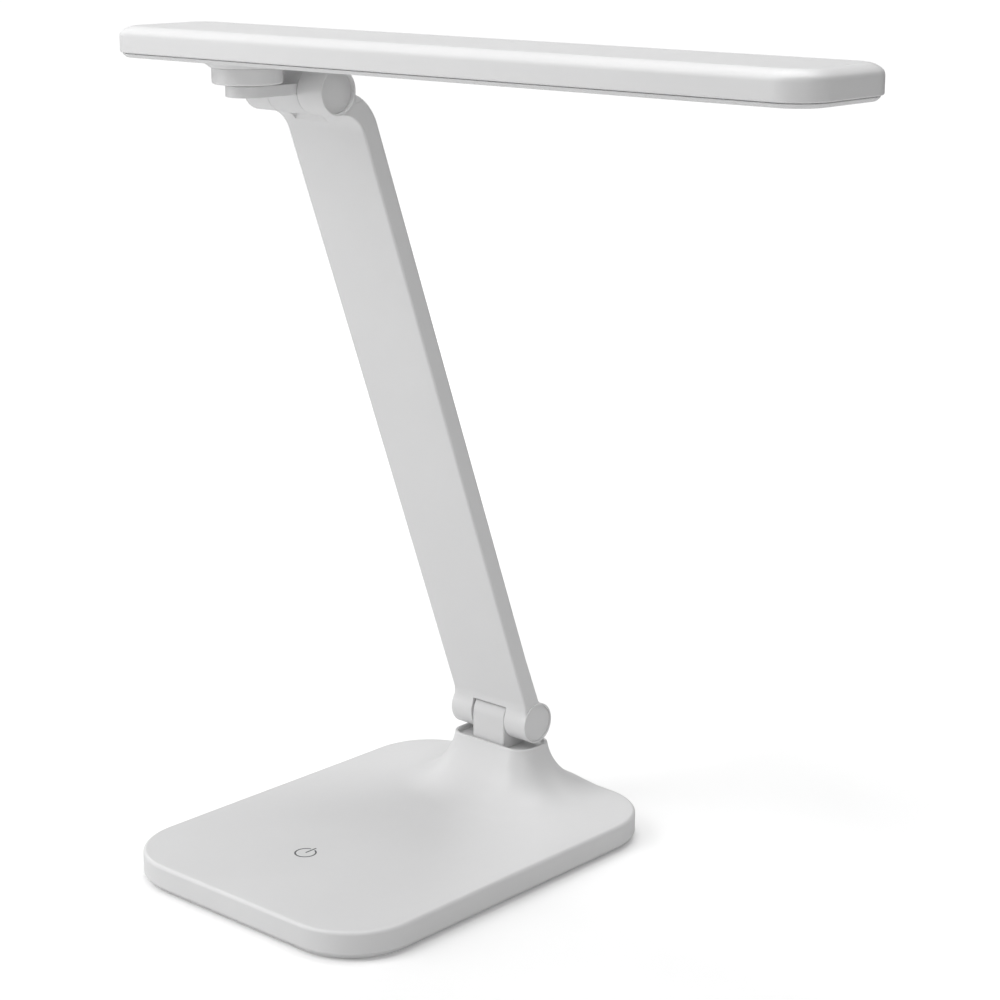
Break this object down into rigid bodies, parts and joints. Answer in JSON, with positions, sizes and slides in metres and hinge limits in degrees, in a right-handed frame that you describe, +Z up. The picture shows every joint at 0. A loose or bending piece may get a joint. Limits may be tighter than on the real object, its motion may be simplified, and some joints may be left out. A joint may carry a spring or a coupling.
{
  "type": "folding led desk lamp",
  "caption": "Slim white desk lamp: rounded flat base with a touch switch, flat arm on friction hinges, and a long light bar that tilts, swivels and folds down.",
  "frame": {"origin": "centre of the base footprint on the table, at the bottom of the anti-slip mat", "axes": "+Z up; +X along the hinge pins, towards the long end of the light bar; +Y towards the hinge side, the back of the lamp"},
  "size_m": [0.3224, 0.1823, 0.3332],
  "materials": {
    "white_shell": "fine moulded satin, white",
    "hinge_lug": "white powder coat on die-cast zinc",
    "counterweight": "bare grey, sealed inside the base",
    "steel": "zinc-plated, satin",
    "electrode": "plain strip",
    "board": "green solder mask",
    "mat": "matt foam rubber",
    "wire": "insulated stranded wire",
    "symbol": "mid-grey fill, flush",
    "led_chip": "yellow phosphor under silicone",
    "led_board": "white-masked aluminium strip",
    "reflector": "white reflective film",
    "diffuser": "opal, satin",
    "slip_washer": "natural acetal"
  },
  "bodies": {
    "base": {"base_upper_shell": "white_shell", "base_bottom_cover": "white_shell", "counterweight_plate": "counterweight", "control_board": "board", "touch_electrode": "electrode", "touch_symbol": "symbol", "usb_c_socket": "steel", "inlet_board": "board", "base_wires": "wire", "anti_slip_mat": "mat", "base_screws": "steel", "lower_hinge_lug": "hinge_lug", "lug_screws": "steel", "lower_hinge_pin": "steel", "lower_friction_washers": "steel", "lower_lock_nut": "steel"},
    "arm": {"arm_front_shell": "white_shell", "arm_rear_cover": "white_shell", "arm_top_cap": "white_shell", "arm_stiffener": "steel", "arm_cable": "wire", "arm_cover_screws": "steel", "lower_end_caps": "white_shell", "upper_end_caps": "white_shell"},
    "bracket": {"swivel_bracket": "hinge_lug", "upper_hinge_pin": "steel", "upper_friction_washers": "steel", "upper_lock_nut": "steel", "swivel_washer": "slip_washer"},
    "head": {"swivel_shaft": "steel", "swivel_retainer": "steel", "swivel_screw": "steel", "swivel_disc": "white_shell", "swivel_collar": "white_shell", "head_housing": "white_shell", "head_bezel": "white_shell", "diffuser": "diffuser", "reflector_tray": "reflector", "led_board": "led_board", "led_emitters": "led_chip", "head_wires": "wire", "head_screws": "steel", "shaft_screws": "steel"}
  },
  "joints": [
    {"name": "lower_hinge", "type": "hinge", "parent": "base", "child": "arm", "pos_m": [0, 0.0649, 0.0432], "axis": [1, 0, 0], "range_deg": [-36, 66]},
    {"name": "upper_hinge", "type": "hinge", "parent": "arm", "child": "bracket", "pos_m": [0, -0.0442, 0.3106], "axis": [1, 0, 0], "range_deg": [-55, 75]},
    {"name": "head_swivel", "type": "hinge", "parent": "bracket", "child": "head", "pos_m": [0, -0.0688, 0.3165], "axis": [0, 0, 1], "range_deg": [-90, 90]}
  ]
}
